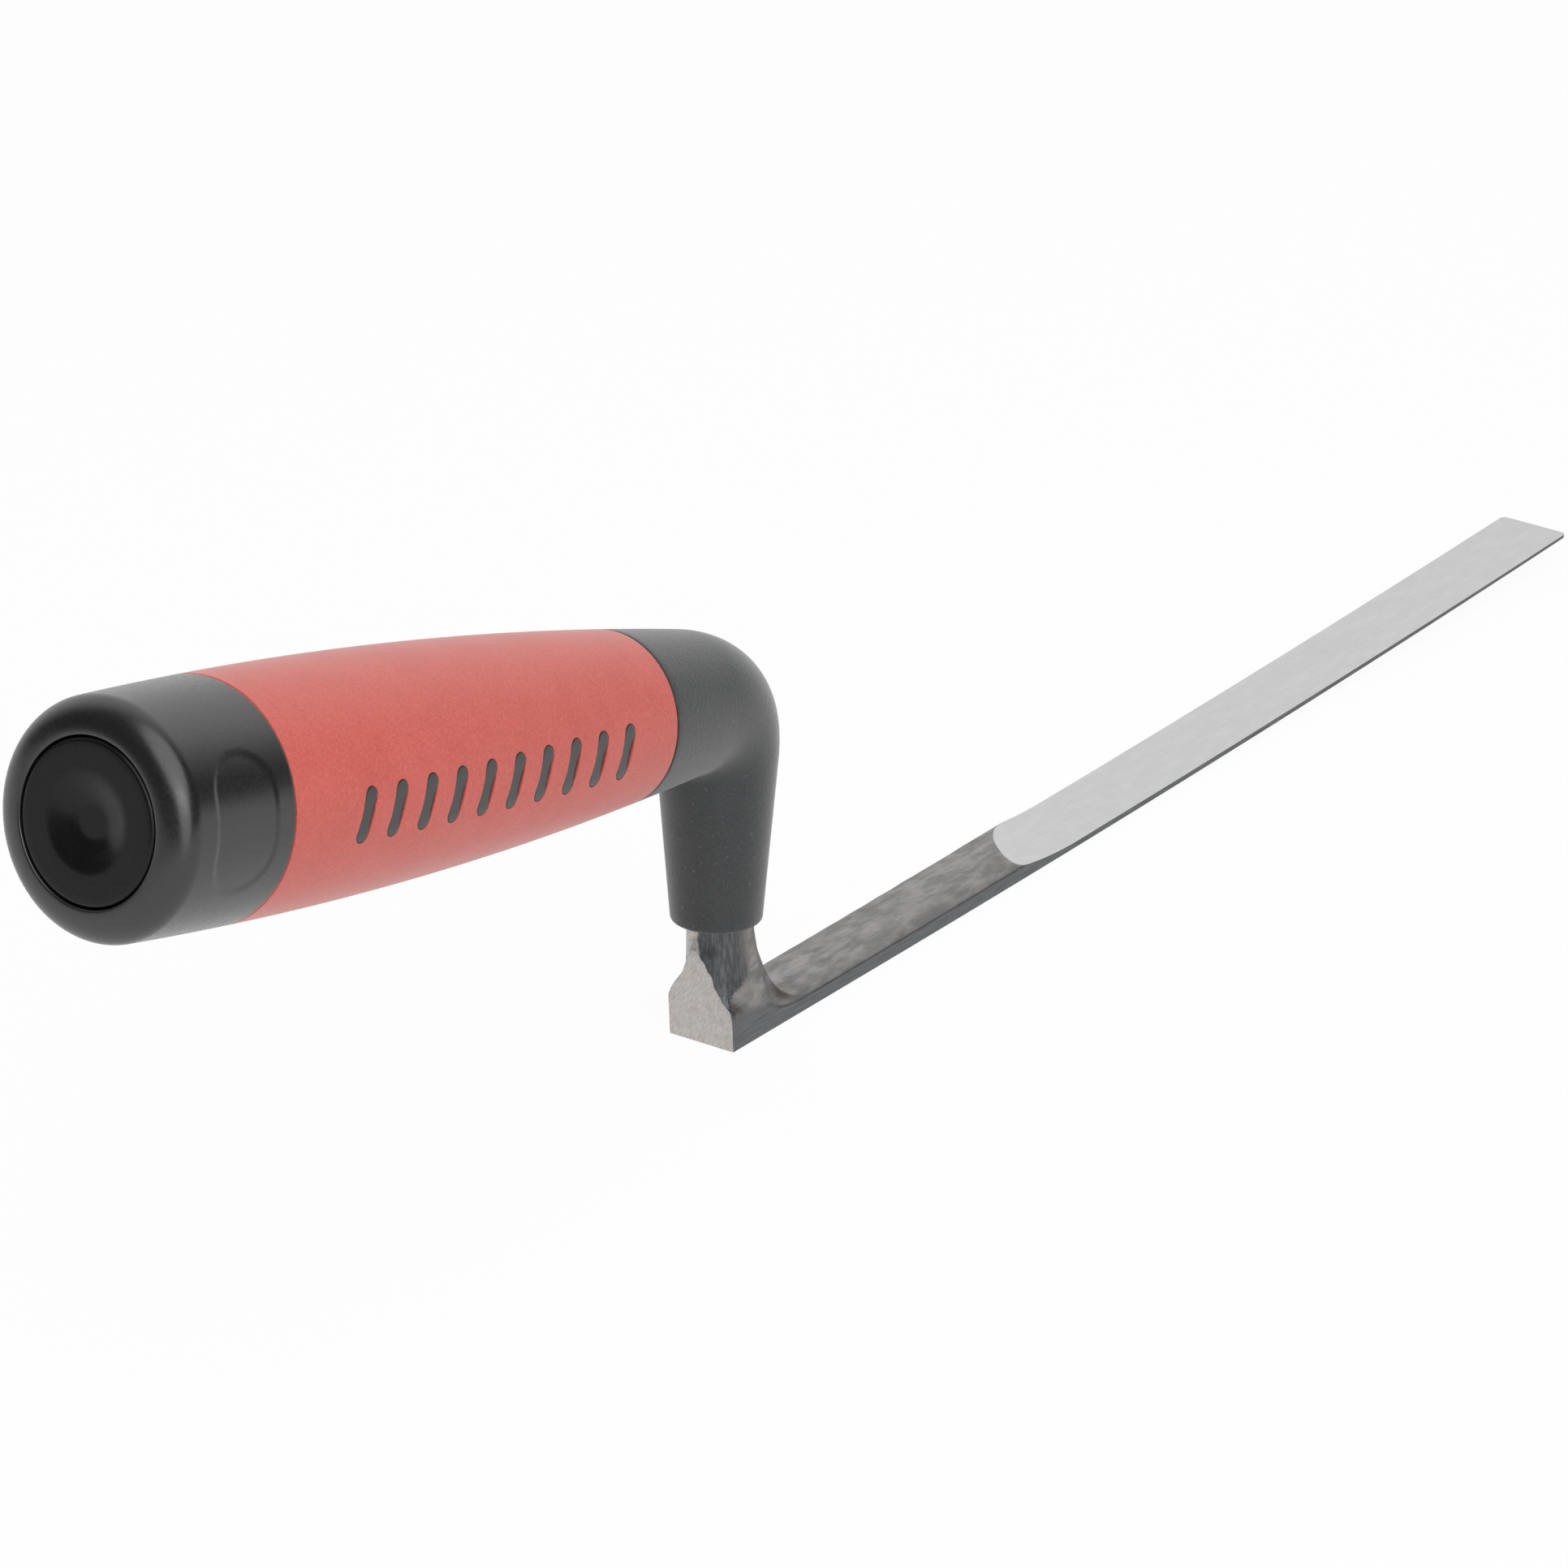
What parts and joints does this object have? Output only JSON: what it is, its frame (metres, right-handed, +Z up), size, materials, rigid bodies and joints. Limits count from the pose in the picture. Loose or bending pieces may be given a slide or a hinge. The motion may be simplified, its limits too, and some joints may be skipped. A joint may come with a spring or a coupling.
{
  "type": "tuck pointer",
  "caption": "Tuck pointer: a narrow forged steel blade on a cranked shank, with a soft-grip handle whose tang is held by a nut behind a rear plug.",
  "frame": {"origin": "on the flat sole of the blade, where the shank's axis meets it", "axes": "+X along the blade towards the tip, +Z up through the sole towards the handle, Y across the blade"},
  "size_m": [0.2789, 0.0284, 0.0829],
  "materials": {
    "forged_steel": "forged grey near the heel, ground satin towards the tip",
    "boot_black": "fine-textured matte black",
    "core_black": "smooth satin black",
    "plug_black": "smooth satin black",
    "grip_red": "matte soft-touch red with a fine grain",
    "zinc_plate": "bright zinc plating"
  },
  "bodies": {
    "root": {"blade_and_tang": "forged_steel", "neck_boot": "boot_black", "handle_core": "core_black", "grip_sleeve": "grip_red", "end_plug": "plug_black", "tang_washer": "zinc_plate", "tang_nut": "zinc_plate"}
  },
  "joints": []
}
